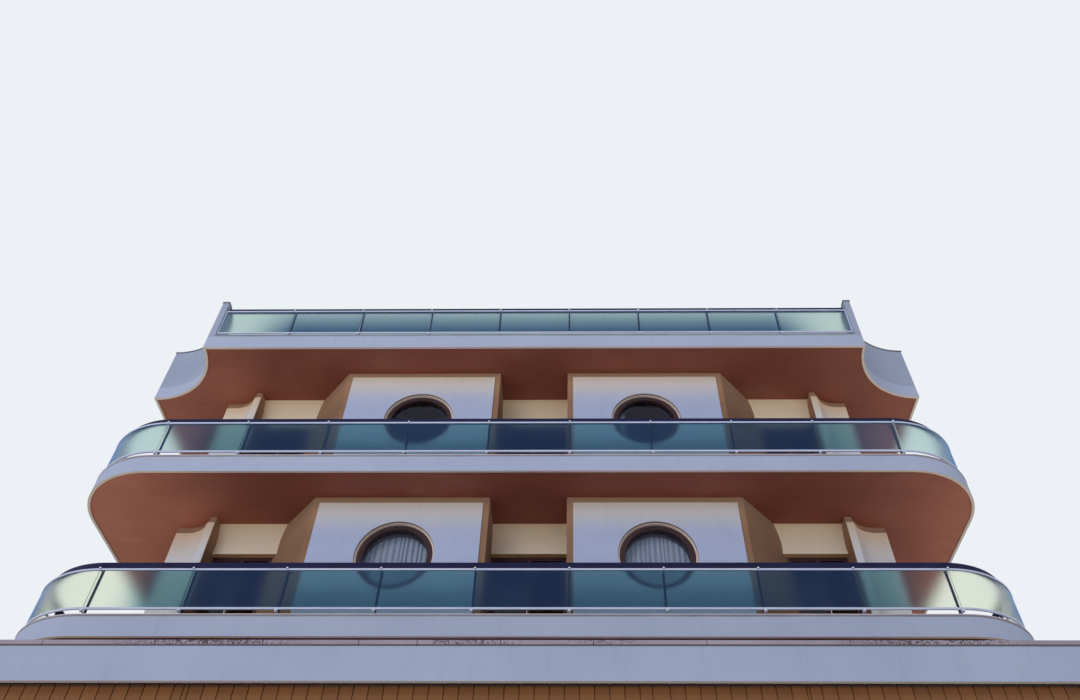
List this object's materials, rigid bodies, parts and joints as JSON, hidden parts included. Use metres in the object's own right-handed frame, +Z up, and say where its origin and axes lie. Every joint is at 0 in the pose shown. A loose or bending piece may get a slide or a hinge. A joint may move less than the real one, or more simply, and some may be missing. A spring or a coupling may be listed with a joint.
{
  "type": "apartment block",
  "caption": "Seaside apartment block with round-windowed bays, rounded glass-fronted balconies, a boarded ground floor with a terrace and a flat roof with scooped corners.",
  "frame": {"origin": "middle of the base on the ground", "axes": "+Z up, the front with the bays looks along -Y, +X to the right of someone facing the front"},
  "size_m": [17.216, 18.616, 15.948],
  "materials": {
    "concrete": "rough grey concrete",
    "boarded_wall": "brown vertical boards, satin",
    "white_render": "white painted render, weathered",
    "terrace_paving": "matt paving",
    "dark_joinery": "dark brown paint, satin",
    "window_glass": "clear, polished",
    "tan_render": "tan painted render, matt",
    "cream_render": "cream painted render, matt",
    "curtain_cloth": "pale pleated cloth",
    "terracotta_paint": "terracotta paint on plaster, matt",
    "tinted_glass": "blue-green, satin back",
    "white_metal": "white powder coat",
    "navy_metal": "dark navy paint, satin"
  },
  "bodies": {
    "root": {"ground_floor": "concrete", "ground_front_wall": "boarded_wall", "ground_side_walls": "boarded_wall", "ground_back_wall": "boarded_wall", "ground_band": "white_render", "ground_coping": "white_render", "ground_frames": "dark_joinery", "ground_glass": "window_glass", "terrace_floor": "terrace_paving", "first_storey_bays": "tan_render", "second_storey_bays": "tan_render", "third_storey_bays": "tan_render", "first_storey_side_walls": "tan_render", "second_storey_side_walls": "tan_render", "third_storey_side_walls": "tan_render", "first_storey_back_wall": "tan_render", "second_storey_back_wall": "tan_render", "third_storey_back_wall": "tan_render", "render_panels": "white_render", "corner_fins": "tan_render", "fin_render": "white_render", "coved_lintels": "cream_render", "round_window_linings": "cream_render", "round_window_frames": "dark_joinery", "round_window_glass": "window_glass", "curtains": "curtain_cloth", "door_frames": "dark_joinery", "door_glass": "window_glass", "lower_balcony_slab": "white_render", "upper_balcony_slab": "white_render", "roof_slab": "white_render", "soffits": "terracotta_paint", "kerbs": "white_render", "lower_balcony_glass": "tinted_glass", "upper_balcony_glass": "tinted_glass", "roof_glass": "tinted_glass", "corner_glass": "tinted_glass", "balustrade_trims": "white_metal", "balustrade_posts": "navy_metal", "handrails": "navy_metal", "roof_parapets": "white_render", "parapet_caps": "dark_joinery"}
  },
  "joints": []
}
